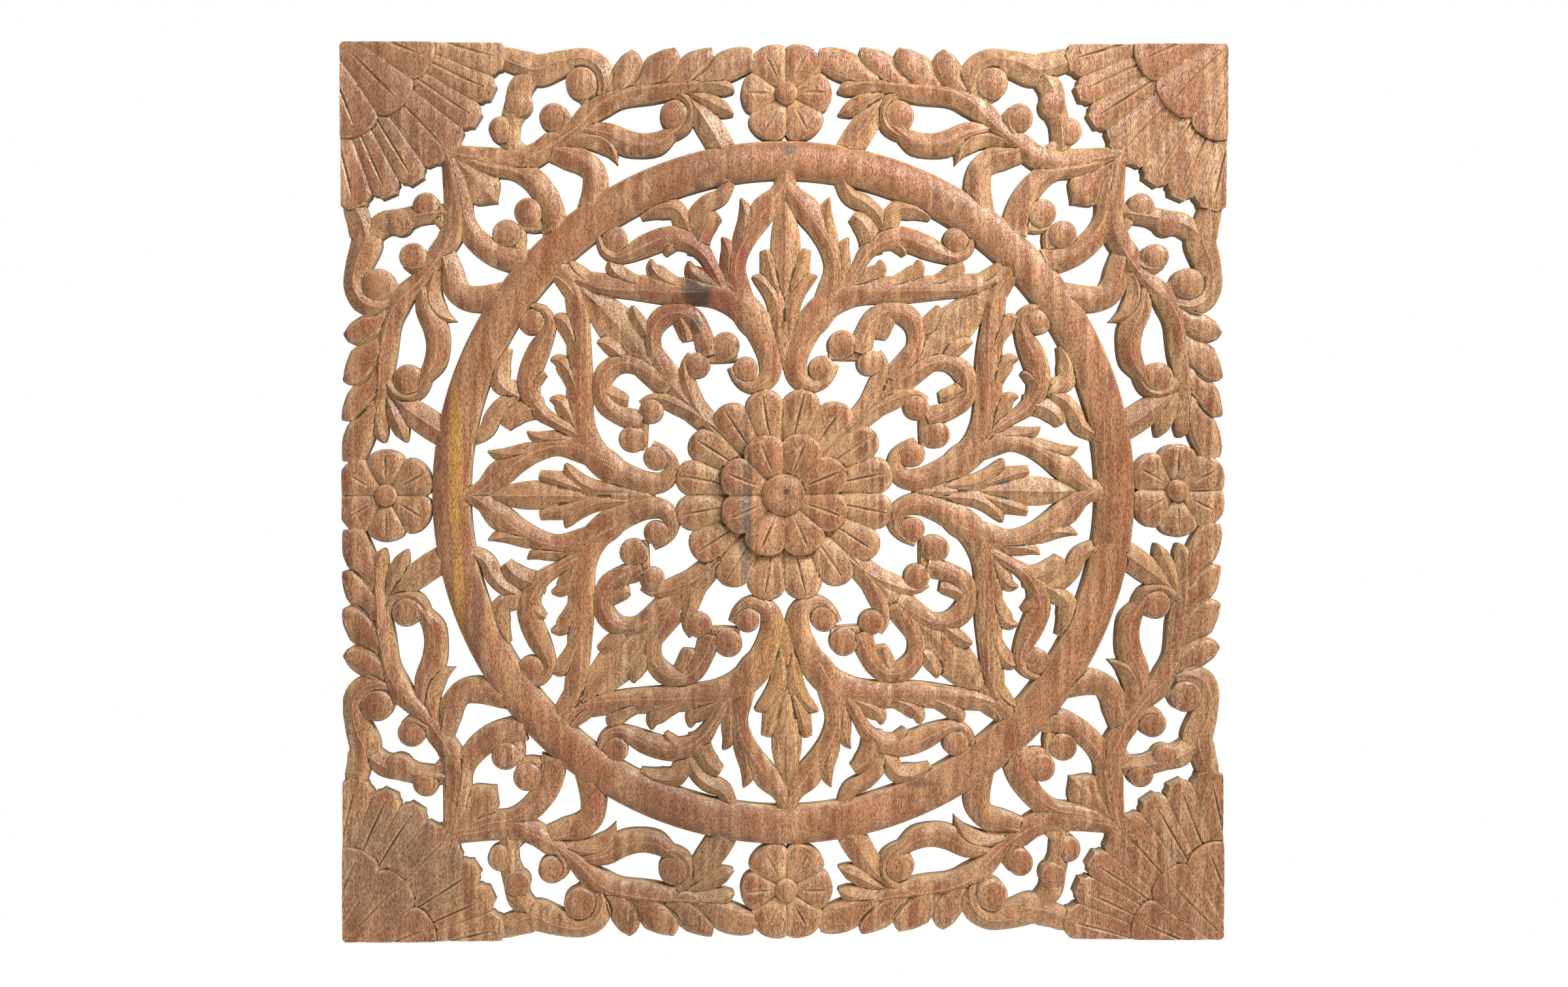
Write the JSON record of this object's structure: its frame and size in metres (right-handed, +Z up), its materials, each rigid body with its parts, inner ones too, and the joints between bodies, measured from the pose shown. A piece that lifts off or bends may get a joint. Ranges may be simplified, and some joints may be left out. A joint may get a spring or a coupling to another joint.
{
  "type": "carved wood wall panel",
  "caption": "Square pierced wooden wall panel carved in relief with a mandala: a flower in a ring, leaf scrolls, corner shells.",
  "frame": {"origin": "middle of the flat back, where the panel meets its wall", "axes": "+Z up, +X to the right as seen from the front, +Y through the back into the wall; the carved face looks along -Y"},
  "size_m": [0.9, 0.025, 0.9126],
  "materials": {
    "carved_wood": "satin, open-grained, hand carved"
  },
  "bodies": {
    "root": {"carved_panel": "carved_wood"}
  },
  "joints": []
}
